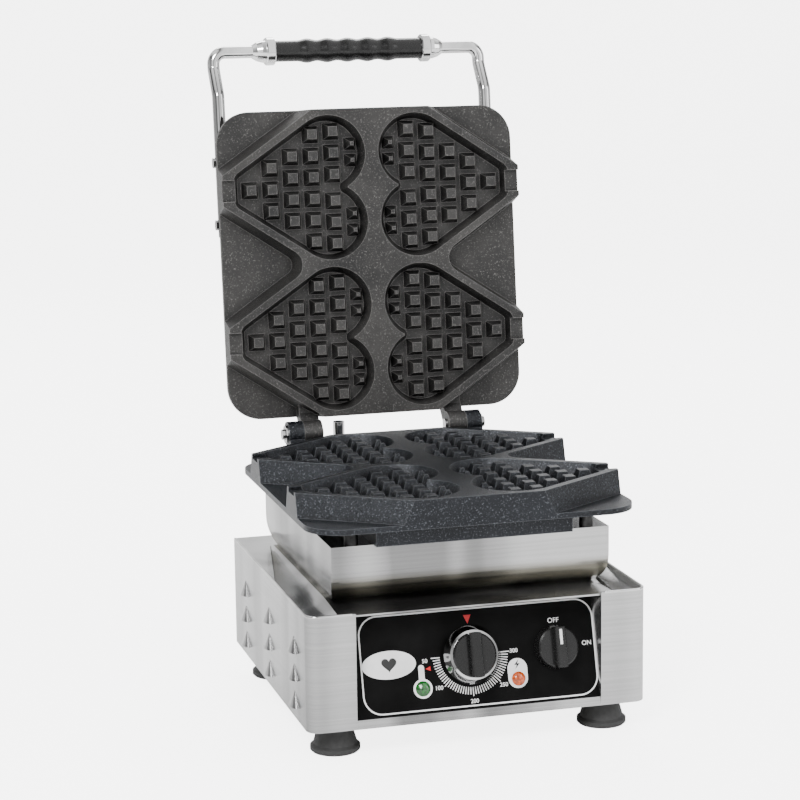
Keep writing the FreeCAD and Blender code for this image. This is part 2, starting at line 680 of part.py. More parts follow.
left, right = handle_points(-1), handle_points(1)
path = rounded_path(left + list(reversed(right)), bend_r - 1.0)
ring = Part.Wire([Part.Circle(left[0], V(0, 0, 1), tube_r).toShape()])
handle = path.makePipeShell([ring], True, True)
screws, clamps = [], []
wall_x = size("housing_width") / 2
for side in (-1, 1):
    for q in clamp_places:
        span = sorted([side * (wall_x - 6), side * (arm_x + tube_r)])
        shank = across(span[0], span[1], arm_p, q, 2.5)
        handle = handle.cut(shank)
        cap = sorted([side * (arm_x + tube_r), side * (arm_x + tube_r + 2.5)])
        screws.append(shank.fuse(across(cap[0], cap[1], arm_p, q, 5.0)))
        gap = sorted([side * wall_x, side * (arm_x - 3.0)])
        pad_block = across(gap[0], gap[1], arm_p, q, 8.0)
        clamps.append(pad_block.cut(shank))
tube_solid = path.makePipeShell([ring], True, True)
clamps = [clamp.cut(tube_solid) for clamp in clamps]
feature("handle_frame", AT_LID, handle)
feature("handle_screws", AT_LID, grouped(screws))
feature("handle_clamps", AT_LID, grouped(clamps))

GRIP_PITCH = 20.5


def turned(profile, smooth):
    """A ring turned about the cross tube from (x, radius) pairs, bored to the tube."""
    top = [V(x, r, 0) for x, r in profile]
    if smooth:
        curve = Part.BSplineCurve()
        curve.interpolate(top)
        edges = [curve.toShape()]
    else:
        edges = [Part.LineSegment(top[i], top[i + 1]).toShape() for i in range(len(top) - 1)]
    first, last = V(top[0].x, tube_r, 0), V(top[-1].x, tube_r, 0)
    edges += [Part.LineSegment(top[-1], last).toShape(), Part.LineSegment(last, first).toShape(),
              Part.LineSegment(first, top[0]).toShape()]
    solid = Part.Face(Part.Wire(edges)).revolve(V(0, 0, 0), V(1, 0, 0), 360)
    solid.translate(V(0, size("grip_back"), grip_q))
    return solid


def grip_radius(x):
    if abs(x) > 2.5 * GRIP_PITCH:
        return 10.2
    return 10.2 + 1.7 * (1 + math.cos(2 * math.pi * x / GRIP_PITCH)) / 2


grip_end = size("grip_half")
steps = 60
waves = [(-grip_end + 2 * grip_end * i / steps, 0) for i in range(steps + 1)]
feature("grip", AT_LID, turned([(x, grip_radius(x)) for x, _ in waves], True))
collar_r = size("collar_radius")
ferrule = turned([(grip_end, collar_r - 1), (grip_end + 1, collar_r), (grip_end + 8, collar_r),
                  (grip_end + 9.2, collar_r - 1), (grip_end + 9.2, collar_r - 2.5),
                  (grip_end + 13, collar_r - 3.0), (grip_end + 18, collar_r - 4.5),
                  (grip_end + 22, tube_r + 0.6)], False)
feature("right_ferrule", AT_LID, ferrule)
feature("left_ferrule", AT_LID, ferrule.mirror(V(0, 0, 0), V(1, 0, 0)))


# ---- control panel, its lip, lamps, knobs and the parts behind it ------------------------

panel_length = (ledge_top - size("sheet_thick") - floor_top) / math.cos(tilt_angle)
panel = new_body("control_panel", AT_PANEL)
panel_face = outline(panel, "panel_outline", "XZ_Plane", [
    ("-(" + ALCOVE + ")", "{sheet_thick}*0.3"), (ALCOVE, "{sheet_thick}*0.3"),
    (ALCOVE, "%.3f" % panel_length),
    ("-(" + ALCOVE + ")", "%.3f" % panel_length)])
panel_face.setExpression("AttachmentOffset.Base.z", ex("-{sheet_thick}"))
pad(panel, panel_face, "{sheet_thick}")
GREEN, AMBER = (-49.4, 27.4), (36.9, 28.2)
pocket(panel, hole_sketch(panel, "panel_holes", "XZ_Plane", [
    ("{thermostat_x}", "{knob_level}", "{shaft_radius}+{shaft_clearance}"),
    ("{switch_x}", "{knob_level}", "{shaft_radius}+{shaft_clearance}"),
    ("-49.4", "27.4", "6"), ("36.9", "28.2", "5.5")]))

lip_slope = math.tan(tilt_angle)
lip_top = floor_top + size("lip_height")
t = size("sheet_thick")
lip = extruded([
    (-alcove_half, 0, size("foot_height")), (-alcove_half, t, size("foot_height")),
    (-alcove_half, t, floor_top), (-alcove_half, t + lip_slope * size("lip_height"), lip_top),
    (-alcove_half, lip_slope * size("lip_height"), lip_top), (-alcove_half, 0, floor_top),
], V(2 * alcove_half, 0, 0))
feature("panel_lip", AT_BASE, lip)


def lamp(spot, ring_r, barrel_r, lens_r):
    x, level = spot
    ring_part = rod(V(x, -1.5, level), V(x, 0, level), ring_r)
    barrel = rod(V(x, 0, level), V(x, 24, level), barrel_r)
    ball = Part.makeSphere(lens_r * 1.25, V(x, -1.5 + lens_r * 0.75, level))
    cap = ball.common(box(x - 20, x + 20, -20, -1.5, level - 20, level + 20))
    return ring_part.fuse(barrel).removeSplitter(), cap


green_body, green_cap = lamp(GREEN, 8.4, 6.0, 6.6)
amber_body, amber_cap = lamp(AMBER, 7.0, 5.5, 6.2)
feature("green_lamp_body", AT_PANEL, green_body)
feature("green_lens", AT_PANEL, green_cap)
feature("amber_lamp_body", AT_PANEL, amber_body)
feature("amber_lens", AT_PANEL, amber_cap)


def control_body(label, x, half, depth):
    level = size("knob_level")
    case = box(x - half, x + half, t, t + depth, level - half, level + half)
    bore = rod(V(x, 0, level), V(x, 13.0, level), size("shaft_radius") + size("shaft_clearance"))
    tabs = [box(x + k - 3, x + k + 3, t + depth, t + depth + 8, level - 1, level + 1) for k in (-8, 8)]
    feature(label, AT_PANEL, case.cut(bore).fuse(tabs).removeSplitter())


control_body("thermostat_body", size("thermostat_x"), 20.0, 28.0)
control_body("switch_body", size("switch_x"), 16.0, 24.0)

gap = size("knob_gap")


def turned_knob(x, profile):
    """A knob turned about its shaft from (radius, height above the panel) pairs."""
    points = [V(r, -h, 0) for r, h in profile]
    face = Part.Face(Part.makePolygon(points + points[:1]))
    solid = face.revolve(V(0, 0, 0), V(0, 1, 0), 360)
    solid.translate(V(x, 0, size("knob_level")))
    return solid


def knob_shape(x, radius, profile, bar_half, bar_height):
    level = size("knob_level")
    disc = turned_knob(x, profile)
    bar = box(x - bar_half, x + bar_half, -bar_height, -gap - 6, level - radius, level + radius)
    edges = [e for e in bar.Edges if e.BoundBox.YMax < -bar_height + 0.01]
    bar = bar.makeFillet(2.0, edges)
    bar = bar.common(rod(V(x, -40, level), V(x, 0, level), radius))
    bore = rod(V(x, -12, level), V(x, 0, level), size("shaft_radius"))
    return disc.fuse(bar).removeSplitter().cut(bore)


cap_r = size("bezel_radius") - 6.0
thermostat = knob_shape(size("thermostat_x"), cap_r, [
    (0, gap), (size("bezel_radius") - 1.0, gap), (size("bezel_radius") - 1.0, gap + 3.0), (cap_r, gap + 3.0),
    (cap_r, gap + 13.5), (cap_r - 1.5, gap + 15.0), (0, gap + 15.0)], 5.5, knob_height)
feature("thermostat_knob", AT_PANEL, thermostat)
bezel = turned_knob(size("thermostat_x"), [
    (cap_r, gap + 3.0), (size("bezel_radius"), gap + 3.0), (size("bezel_radius"), gap + 5.5),
    (cap_r + 2.0, gap + 12.0), (cap_r, gap + 12.5)])
feature("thermostat_bezel", AT_PANEL, bezel)
switch_r = size("switch_radius")
switch = knob_shape(size("switch_x"), switch_r - 1.2, [
    (0, gap), (switch_r, gap), (switch_r, gap + 2.0), (switch_r - 1.2, gap + 10.0),
    (switch_r - 2.6, gap + 11.0), (0, gap + 11.0)], 5.0, knob_height - 3.0)
feature("switch_knob", AT_PANEL, switch)
pointer_top = size("knob_level") + switch_r - 4.0
pointer = box(size("switch_x") - 1.1, size("switch_x") + 1.1, -knob_height + 2.2, -knob_height + 3.0,
              pointer_top - 13.0, pointer_top)
feature("switch_pointer", AT_PANEL, pointer)
for label, x in (("thermostat_shaft", size("thermostat_x")), ("switch_shaft", size("switch_x"))):
    level = size("knob_level")
    feature(label, AT_PANEL, rod(V(x, -12, level), V(x, 12.4, level), size("shaft_radius")))


# ---- wiring parts: terminal block, cord gland, conduit, lid gland, screws ----------------

terminal = new_body("terminal_block", AT_BASE)
terminal_face = outline(terminal, "terminal_outline", "XY_Plane", [
    ("30", "205"), ("90", "205"), ("90", "228"), ("30", "228")])
terminal_face.setExpression("AttachmentOffset.Base.z", ex("{foot_height}+{sheet_thick}"))
pad(terminal, terminal_face, "18")
pocket(terminal, hole_sketch(terminal, "terminal_holes", "XY_Plane", [
    ("42", "216.5", "3"), ("60", "216.5", "3"), ("78", "216.5", "3")]))

rear_y = size("base_depth")
gland = fused([rod(V(60, rear_y - 8, 62), V(60, rear_y + 4, 62), 8.0),
               rod(V(60, rear_y, 62), V(60, rear_y + 5, 62), 12.0),
               Part.makeCone(10.0, 7.0, 12.0, V(60, rear_y + 5, 62), V(0, 1, 0)),
               rod(V(60, rear_y - 7, 62), V(60, rear_y - t, 62), 11.5)])
feature("cable_gland", AT_BASE, gland.cut(rod(V(60, rear_y - 20, 62), V(60, rear_y + 30, 62), 4.2)))

tube_x = size("conduit_x")
tube_y = rear_y + size("conduit_out")
tube_top = hinge_z + size("conduit_drop")
conduit_points = [V(tube_x, rear_y - 8, 90), V(tube_x, tube_y, 90), V(tube_x, tube_y, tube_top)]
conduit_path = rounded_path(conduit_points, 15.0)
outer_ring = Part.Wire([Part.Circle(conduit_points[0], V(0, 1, 0), size("conduit_radius")).toShape()])
inner_ring = Part.Wire([Part.Circle(conduit_points[0], V(0, 1, 0), size("conduit_radius") - 1.2).toShape()])
conduit = conduit_path.makePipeShell([outer_ring], True, True)
conduit = conduit.cut(conduit_path.makePipeShell([inner_ring], True, True))
feature("lead_conduit", AT_BASE, conduit)
nut = rod(V(tube_x, rear_y, 90), V(tube_x, rear_y + 4, 90), 9.0)
feature("conduit_nut", AT_BASE, nut.cut(rod(V(tube_x, rear_y - 1, 90), V(tube_x, rear_y + 6, 90),
                                            size("conduit_radius"))))

gland_q = housing_mid - size("housing_length") / 2
lid_gland = rod(V(tube_x, rim_back + 14, gland_q - 10), V(tube_x, rim_back + 14, gland_q), 7.5)
feature("lead_gland", AT_LID, lid_gland.cut(rod(V(tube_x, rim_back + 14, gland_q - 11),
                                                V(tube_x, rim_back + 14, gland_q - 2), 4.3)))

rear_screws = [rod(V(x, rear_y, z), V(x, rear_y + 2, z), 3.5)
               for x in (-138, 138) for z in (size("foot_height") + 12, shell_top - 14)]
feature("base_screws", AT_BASE, grouped(rear_screws))


# ---- check and write every sub-part ------------------------------------------------------
doc.recompute()
os.makedirs("parts", exist_ok=True)
for item in nodes:
    if "Invalid" in item.State or "Error" in item.State:
        raise RuntimeError("%s is in state %s" % (item.Label, item.State))
    if item.Shape.isNull() or not item.Shape.isValid():
        raise RuntimeError("%s has a bad shape" % item.Label)
    item.Shape.exportStep("parts/%s.step" % item.Label)
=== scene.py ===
import bmesh
import bpy
import json
import math
from mathutils import Matrix, Vector


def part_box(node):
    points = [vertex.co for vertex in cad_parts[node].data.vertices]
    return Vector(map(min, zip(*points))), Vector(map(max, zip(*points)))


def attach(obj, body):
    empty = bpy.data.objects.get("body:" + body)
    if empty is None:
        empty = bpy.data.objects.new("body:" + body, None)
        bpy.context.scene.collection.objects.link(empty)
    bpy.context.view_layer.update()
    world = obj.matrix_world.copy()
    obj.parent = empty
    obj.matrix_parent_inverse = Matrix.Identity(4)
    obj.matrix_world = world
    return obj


# Heart waffle baker: the CAD model gets procedural materials, and the panel's print,
# its badge and the beads along the side panels are added as mesh and curve pieces.

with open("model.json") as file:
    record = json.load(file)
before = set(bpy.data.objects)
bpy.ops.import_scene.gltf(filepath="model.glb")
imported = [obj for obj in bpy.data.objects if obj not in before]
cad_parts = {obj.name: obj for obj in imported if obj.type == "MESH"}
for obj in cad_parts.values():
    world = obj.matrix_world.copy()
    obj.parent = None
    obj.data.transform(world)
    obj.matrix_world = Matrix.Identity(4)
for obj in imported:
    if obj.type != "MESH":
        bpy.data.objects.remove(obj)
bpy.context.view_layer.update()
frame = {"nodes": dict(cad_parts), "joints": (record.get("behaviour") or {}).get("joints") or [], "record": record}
nodes = frame["nodes"]


# ---- materials ---------------------------------------------------------------------------

def new_material(name):
    mat = bpy.data.materials.new(name)
    mat.use_nodes = True
    tree = mat.node_tree
    shader = tree.nodes["Principled BSDF"]
    return mat, tree, shader


def add(tree, kind, **values):
    node = tree.nodes.new(kind)
    for key, value in values.items():
        if key in node.inputs:
            node.inputs[key].default_value = value
        else:
            setattr(node, key, value)
    return node


def coords(tree, scale):
    place = add(tree, "ShaderNodeTexCoord")
    mapping = add(tree, "ShaderNodeMapping")
    mapping.inputs["Scale"].default_value = scale
    tree.links.new(place.outputs["Object"], mapping.inputs["Vector"])
    return mapping.outputs["Vector"]


def noise(tree, scale, stretch=(1, 1, 1), detail=4.0, rough=0.55):
    node = add(tree, "ShaderNodeTexNoise", Scale=scale, Detail=detail, Roughness=rough)
    tree.links.new(coords(tree, stretch), node.inputs["Vector"])
    return node.outputs["Fac"]


def ramp(tree, value, stops):
    node = add(tree, "ShaderNodeValToRGB")
    while len(node.color_ramp.elements) < len(stops):
        node.color_ramp.elements.new(0.5)
    for element, (place, color) in zip(node.color_ramp.elements, stops):
        element.position = place
        element.color = tuple(color) + (1,)
    tree.links.new(value, node.inputs["Fac"])
    return node.outputs["Color"]


def grey(value):
    return (value, value, value)


def bump(tree, shader, value, strength, distance):
    node = add(tree, "ShaderNodeBump", Strength=strength, Distance=distance)
    tree.links.new(value, node.inputs["Height"])
    tree.links.new(node.outputs["Normal"], shader.inputs["Normal"])


# Sockets of the Mix node when it mixes colours.
MIX_FACTOR, MIX_FIRST, MIX_SECOND, MIX_RESULT = 0, 6, 7, 2


def multiply(tree, first, second):
    node = add(tree, "ShaderNodeMix", data_type="RGBA", blend_type="MULTIPLY")
    node.inputs[MIX_FACTOR].default_value = 1.0
    tree.links.new(first, node.inputs[MIX_FIRST])
    tree.links.new(second, node.inputs[MIX_SECOND])
    return node.outputs[MIX_RESULT]


def edge_mask(tree, radius):
    """Picks out outer and inner edges by how far the rounded normal leaves the flat one."""
    round_off = add(tree, "ShaderNodeBevel", samples=4)
    round_off.inputs["Radius"].default_value = radius
    geometry = add(tree, "ShaderNodeNewGeometry")
    dot = add(tree, "ShaderNodeVectorMath", operation="DOT_PRODUCT")
    tree.links.new(round_off.outputs["Normal"], dot.inputs[0])
    tree.links.new(geometry.outputs["Normal"], dot.inputs[1])
    return ramp(tree, dot.outputs["Value"], [(0.90, grey(1.0)), (0.995, grey(0.0))])


def metal(name, dark, light, rough_low, rough_high, grain, stretch, depth, painted_underside_reflection=None, metallic=1.0):
    """Rolled or polished metal with fine grain, its colour multiplied by soft vertical bands of painted
    reflection. Faces that look down take the given underside tint, a painted dark reflection of what lies below
    them.
    """
    mat, tree, shader = new_material(name)
    shader.inputs["Metallic"].default_value = metallic
    lines = noise(tree, grain, stretch, 3.0)
    cloud = noise(tree, 13.0, (1, 1, 0.05), 2.0)
    color = ramp(tree, lines, [(0.3, dark), (0.7, light)])
    # Painted reflection: vertically stretched noise darkens the base colour to 0.42 in streaky bands, like studio
    # reflections fixed on the metal.
    painted_reflection_bands = ramp(tree, cloud, [(0.40, grey(0.42)), (0.52, grey(0.85)), (0.62, grey(1.0))])
    shaded = multiply(tree, color, painted_reflection_bands)
    # Painted reflection and shade: faces whose world normal points down are multiplied by the dark warm underside
    # tint.
    if painted_underside_reflection:
        geometry = add(tree, "ShaderNodeNewGeometry")
        split = add(tree, "ShaderNodeSeparateXYZ")
        tree.links.new(geometry.outputs["Normal"], split.inputs[0])
        spread = add(tree, "ShaderNodeMapRange")
        spread.inputs["From Min"].default_value = -1.0
        tree.links.new(split.outputs["Z"], spread.inputs["Value"])
        shaded = multiply(tree, shaded, ramp(tree, spread.outputs[0], [
            (0.05, painted_underside_reflection), (0.30, tuple(1.25 * c for c in painted_underside_reflection)), (0.47, grey(0.92)), (0.9, grey(1.0))]))
    tree.links.new(shaded, shader.inputs["Base Color"])
    tree.links.new(ramp(tree, cloud, [(0.3, grey(rough_low)), (0.7, grey(rough_high))]),
                   shader.inputs["Roughness"])
    bump(tree, shader, lines, depth, 0.0002)
    return mat


def casting(name, dark, light, speck, rough, depth):
    """Sand-cast iron with a baked surface: blotches, pits and bright worn grains, plus painted shade in the
    hollows and a painted highlight along the edges.
    """
    mat, tree, shader = new_material(name)
    shader.inputs["Metallic"].default_value = 0.55
    blotch = noise(tree, 16.0, (1, 1, 1), 5.0, 0.6)
    grain = noise(tree, 620.0, (1, 1, 1), 3.0, 0.7)
    base = ramp(tree, blotch, [(0.3, dark), (0.72, light)])
    sparks = ramp(tree, grain, [(0.56, grey(0.0)), (0.72, grey(1.0))])
    mix = add(tree, "ShaderNodeMix", data_type="RGBA")
    tree.links.new(sparks, mix.inputs[MIX_FACTOR])
    tree.links.new(base, mix.inputs[MIX_FIRST])
    mix.inputs[MIX_SECOND].default_value = speck + (1,)
    # Painted shade: ambient occlusion darkens hollows and cavities in the base colour down to 0.12.
    hollow = add(tree, "ShaderNodeAmbientOcclusion", samples=6)
    hollow.inputs["Distance"].default_value = 0.014
    painted_hollow_shade = ramp(tree, hollow.outputs["AO"], [(0.35, grey(0.12)), (0.85, grey(1.0))])
    # Painted highlight: outer and inner edges found by edge_mask are lifted to a bright tone well above the iron's
    # own colour.
    painted_edge_highlight = add(tree, "ShaderNodeMix", data_type="RGBA")
    tree.links.new(edge_mask(tree, 0.0011), painted_edge_highlight.inputs[MIX_FACTOR])
    tree.links.new(multiply(tree, mix.outputs[MIX_RESULT], painted_hollow_shade), painted_edge_highlight.inputs[MIX_FIRST])
    painted_edge_highlight.inputs[MIX_SECOND].default_value = tuple(2.4 * c + 0.05 for c in light) + (1,)
    tree.links.new(painted_edge_highlight.outputs[MIX_RESULT], shader.inputs["Base Color"])
    tree.links.new(ramp(tree, grain, [(0.3, grey(rough - 0.1)), (0.7, grey(rough + 0.12))]),
                   shader.inputs["Roughness"])
    bump(tree, shader, grain, depth, 0.0009)
    return mat


def moulded(name, color, rough, grain=900.0, depth=0.05, metallic=0.0, coat=0.0, gloss=0.5):
    """Moulded plastic, rubber or enamel with a fine surface grain and slight mottling."""
    mat, tree, shader = new_material(name)
    shader.inputs["Metallic"].default_value = metallic
    shader.inputs["Coat Weight"].default_value = coat
    shader.inputs["Specular IOR Level"].default_value = gloss
    cloud = noise(tree, 25.0, (1, 1, 1), 4.0)
    fine = noise(tree, grain, (1, 1, 1), 2.0)
    darker = tuple(c * 0.82 for c in color)
    lighter = tuple(min(1.0, c * 1.12 + 0.004) for c in color)
    tree.links.new(ramp(tree, cloud, [(0.3, darker), (0.7, lighter)]), shader.inputs["Base Color"])
    tree.links.new(ramp(tree, fine, [(0.3, grey(max(0.02, rough - 0.06))), (0.7, grey(rough + 0.06))]),
                   shader.inputs["Roughness"])
    bump(tree, shader, fine, depth, 0.0004)
    return mat


# The underside tint (0.42, 0.40, 0.33) is a painted dark reflection on the steel's downward faces.
STEEL = metal("brushed_stainless", grey(0.54), grey(0.66), 0.15, 0.26, 260.0, (0.02, 0.02, 2.0), 0.01,
              painted_underside_reflection=(0.42, 0.40, 0.33), metallic=0.95)
CHROME = metal("polished_chrome", grey(0.78), grey(0.88), 0.04, 0.12, 90.0, (1, 1, 1), 0.004)
ZINC = metal("plated_steel", grey(0.45), grey(0.58), 0.3, 0.45, 300.0, (1, 1, 1), 0.03)
UPPER = casting("seasoned_iron_warm", grey(0.020), (0.056, 0.054, 0.052), (0.17, 0.165, 0.16),
                0.42, 0.55)
LOWER = casting("seasoned_iron_blue", (0.005, 0.006, 0.008), (0.017, 0.019, 0.023),
                (0.13, 0.14, 0.16), 0.34, 0.55)
BAKELITE = moulded("black_phenolic", grey(0.006), 0.25, 700.0, 0.03, coat=0.1, gloss=0.35)
RUBBER = moulded("foot_rubber", grey(0.03), 0.62, 260.0, 0.5)
PANEL = moulded("panel_film", grey(0.0012), 0.45, 1200.0, 0.01, gloss=0.06)

PRINT = moulded("white_print", grey(0.86), 0.35, 900.0, 0.02)
RED = moulded("red_print", (0.62, 0.0, 0.004), 0.35, 900.0, 0.02)
INK = moulded("black_print", grey(0.015), 0.35, 900.0, 0.02)
DARK = moulded("dark_plastic", grey(0.035), 0.45, 500.0, 0.06)
WOOL = moulded("mineral_wool", (0.62, 0.55, 0.38), 0.9, 240.0, 0.8)


def lens(name, color, glow):
    mat, tree, shader = new_material(name)
    cell = add(tree, "ShaderNodeTexVoronoi", Scale=420.0)
    tree.links.new(coords(tree, (1, 1, 1)), cell.inputs["Vector"])
    dark = tuple(c * 0.35 for c in color)
    shades = ramp(tree, cell.outputs["Distance"], [(0.1, color), (0.7, dark)])
    tree.links.new(shades, shader.inputs["Base Color"])
    shader.inputs["Roughness"].default_value = 0.12
    shader.inputs["Coat Weight"].default_value = 1.0
    shader.inputs["Emission Color"].default_value = color + (1,)
    shader.inputs["Emission Strength"].default_value = glow
    bump(tree, shader, cell.outputs["Distance"], 0.5, 0.0006)
    return mat


GREEN = lens("green_lens", (0.0, 0.16, 0.01), 0.06)
AMBER = lens("amber_lens", (0.75, 0.10, 0.0), 0.15)

by_slot = {"stainless": STEEL, "upper_iron": UPPER, "lower_iron": LOWER, "chrome": CHROME,
           "black_phenolic": BAKELITE, "rubber": RUBBER, "panel_black": PANEL, "green_lens": GREEN,
           "amber_lens": AMBER, "white_mark": PRINT, "dark_plastic": DARK, "wool": WOOL, "steel": ZINC}
BLACKENED = metal("blackened_steel", grey(0.03), grey(0.06), 0.35, 0.5, 300.0, (1, 1, 1), 0.03)
for part in frame["record"]["subparts"]:
    mesh = nodes[part["node"]].data
    mesh.materials.clear()
    mesh.materials.append(by_slot[part["material_slot"]])
for name in ("plate_spacers", "lid_spacers"):
    nodes[name].data.materials[0] = BLACKENED


# ---- rolled beads along the top of the side panels ---------------------------------------

def bead(name, side):
    """A fine polished roll that follows the panel's top edge round its front corner.

    The right side panel sets the path for both sides; side is 1 for right, -1 for left.
    """
    low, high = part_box("right_side")
    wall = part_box("base_floor")[1][0] + 0.001
    front, rear, top = low[1] + 0.0009, high[1] - 0.001, high[2] - 0.0006
    inner = low[0] + 0.003
    radius = 0.010
    spots = [(wall, rear), (wall, (front + rear) / 2), (wall, front + radius + 0.02)]
    for degrees in range(0, 91, 10):
        angle = math.radians(degrees)
        spots.append((wall - radius + radius * math.cos(angle), front + radius - radius * math.sin(angle)))
    spots += [(wall - radius - 0.01, front), (inner, front)]
    curve = bpy.data.curves.new(name, "CURVE")
    curve.dimensions = "3D"
    curve.bevel_depth = 0.0012
    curve.bevel_resolution = 4
    line = curve.splines.new("POLY")
    line.points.add(len(spots) - 1)
    for point, (x, y) in zip(line.points, spots):
        point.co = (side * x, y, top, 1)
    piece = bpy.data.objects.new(name, curve)
    bpy.context.scene.collection.objects.link(piece)
    curve.materials.append(CHROME)
    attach(piece, "base")


bead("left_rim_bead", -1)
bead("right_rim_bead", 1)


# ---- pieces laid on the control panel ----------------------------------------------------

panel_low = Vector(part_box("control_panel")[0])
TILT = math.radians(16.0)
PANEL_SHIFT = 0.45e-3
UP = Vector((0, math.sin(TILT), math.cos(TILT)))
OUT = Vector((0, -math.cos(TILT), math.sin(TILT)))
START = Vector((0, panel_low.y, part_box("base_floor")[1][2]))
START.y -= PANEL_SHIFT * math.sin(TILT)


def on_panel(x, s, rise=0.0):
    """A point on the panel face: x across, s up the slope and rise out of it, in millimetres."""
    return START + Vector((x / 1000, 0, 0)) + UP * (s / 1000) + OUT * (rise / 1000)


def finish_piece(piece, mat, body="base"):
    piece.data.materials.clear()
    piece.data.materials.append(mat)
    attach(piece, body)
    return piece


def mesh_piece(name, bm, mat, body="base"):
    mesh = bpy.data.meshes.new(name)
    bm.to_mesh(mesh)
    bm.free()
    piece = bpy.data.objects.new(name, mesh)
    bpy.context.scene.collection.objects.link(piece)
    return finish_piece(piece, mat, body)


def prism(bm, loop, low, high):
    """A thin raised shape on the panel from a loop of (x, s) points in millimetres."""
    bottom = [bm.verts.new(on_panel(x, s, low)) for x, s in loop]
    top = [bm.verts.new(on_panel(x, s, high)) for x, s in loop]
    bm.faces.new(top)
    bm.faces.new(list(reversed(bottom)))
    for i in range(len(loop)):
        j = (i + 1) % len(loop)
        bm.faces.new([bottom[i], bottom[j], top[j], top[i]])


def band(bm, outer, inner, low, high):
    """A raised line between two loops with the same number of points."""
    rings = [[bm.verts.new(on_panel(x, s, h)) for x, s in loop]
             for loop, h in ((outer, low), (outer, high), (inner, high), (inner, low))]
    count = len(outer)
    for a in range(4):
        b = (a + 1) % 4
        for i in range(count):
            j = (i + 1) % count
            bm.faces.new([rings[a][i], rings[a][j], rings[b][j], rings[b][i]])


def rounded(cx, cs, half_w, half_h, radius, steps=10):
    """The outline of a rectangle with rounded corners."""
    loop = []
    for qx, qs, start in ((1, 1, 0), (-1, 1, 90), (-1, -1, 180), (1, -1, 270)):
        for i in range(steps + 1):
            angle = math.radians(start + 90 * i / steps)
            loop.append((cx + qx * (half_w - radius) + radius * math.cos(angle),
                         cs + qs * (half_h - radius) + radius * math.sin(angle)))
    return loop


def ellipse(cx, cs, rx, rs, steps=64):
    return [(cx + rx * math.cos(2 * math.pi * i / steps), cs + rs * math.sin(2 * math.pi * i / steps))
            for i in range(steps)]


# Millimetres on the panel: the knobs' places, and how far the print stands out of the sheet.
THERMO_X, SWITCH_X, LEVEL = -4.5, 73.0, 52.5
LOW, HIGH = 0.02, 0.22
BADGE_X, BADGE_HIGH = -77.6, 0.5
TICKS, TICK_INNER, TICK_OUTER, LONG_TICK_OUTER, TICK_HALF = 45, 27.6, 34.0, 35.5, 0.42

bm = bmesh.new()
band(bm, rounded(3.7, 50.6, 106.4, 42.4, 17), rounded(3.7, 50.6, 105.1, 41.1, 15.7), LOW, HIGH)
mesh_piece("panel_border", bm, PRINT)

bm = bmesh.new()
for i in range(TICKS):
    angle = math.radians(-180 + 180 * i / (TICKS - 1))
    ca, sa = math.cos(angle), math.sin(angle)
    reach = TICK_OUTER if i % 11 else LONG_TICK_OUTER
    corners = ((TICK_INNER, 1), (reach, 1), (reach, -1), (TICK_INNER, -1))
    prism(bm, [(THERMO_X + r * ca + side * TICK_HALF * sa, LEVEL + r * sa - side * TICK_HALF * ca)
               for r, side in corners], LOW, HIGH)
mesh_piece("dial_ticks", bm, PRINT)

bm = bmesh.new()
prism(bm, [(THERMO_X - 3.4, 87.0), (THERMO_X, 79.4), (THERMO_X + 3.4, 87.0)], LOW, HIGH)
prism(bm, [(THERMO_X - 36.5, 46.0), (THERMO_X - 36.5, 42.0), (THERMO_X - 41.0, 44.0)], LOW, HIGH)
mesh_piece("red_marks", bm, RED)

bm = bmesh.new()
prism(bm, ellipse(BADGE_X, 50.2, 24.0, 12.15), LOW, BADGE_HIGH)
mesh_piece("plain_badge", bm, PRINT)
bm = bmesh.new()
heart = []
HEART_POINTS, HEART_SCALE = 48, 0.42
for i in range(HEART_POINTS):
    t = 2 * math.pi * i / HEART_POINTS
    height = 13 * math.cos(t) - 5 * math.cos(2 * t) - 2 * math.cos(3 * t) - math.cos(4 * t)
    heart.append((BADGE_X + HEART_SCALE * 16 * math.sin(t) ** 3, 50.8 + HEART_SCALE * height))
prism(bm, heart, BADGE_HIGH, 0.62)
mesh_piece("badge_heart", bm, INK)

bm = bmesh.new()
prism(bm, rounded(36.9, 33.0, 8.9, 12.9, 8.7), LOW, HIGH)
mesh_piece("amber_plate", bm, PRINT)
bm = bmesh.new()
prism(bm, [(38.6, 45.0), (34.2, 40.2), (36.6, 40.2), (35.0, 36.4), (39.4, 41.4), (37.0, 41.4)], HIGH, 0.3)
mesh_piece("mains_flash", bm, INK)

bm = bmesh.new()
prism(bm, rounded(-49.4, 39.8, 2.6, 8.0, 2.5), LOW, HIGH)
mesh_piece("temperature_stem", bm, PRINT)

LABELS = [("off_label", "OFF", SWITCH_X + 0.3, 75.6, 6.0), ("on_label", "ON", 102.3, 53.5, 5.6),
          ("dial_0", "50", -45.7, 50.6, 5.0), ("dial_1", "100", -34.8, 26.6, 5.0),
          ("dial_2", "200", THERMO_X + 0.6, 12.6, 5.0), ("dial_3", "250", 23.6, 24.2, 5.0),
          ("dial_4", "300", 34.9, 52.6, 5.0)]
for name, words, x, s, height in LABELS:
    curve = bpy.data.curves.new(name, "FONT")
    curve.body = words
    curve.size = height / 1000
    curve.extrude = 0.0001
    curve.offset = 0.00005
    curve.align_x = "CENTER"
    curve.align_y = "CENTER"
    text = bpy.data.objects.new(name, curve)
    bpy.context.scene.collection.objects.link(text)
    turn = Matrix((Vector((1, 0, 0)), UP, OUT)).transposed().to_4x4()
    text.matrix_world = Matrix.Translation(on_panel(x, s, 0.14)) @ turn
    finish_piece(text, PRINT)


# ---- stage, light and camera -------------------------------------------------------------

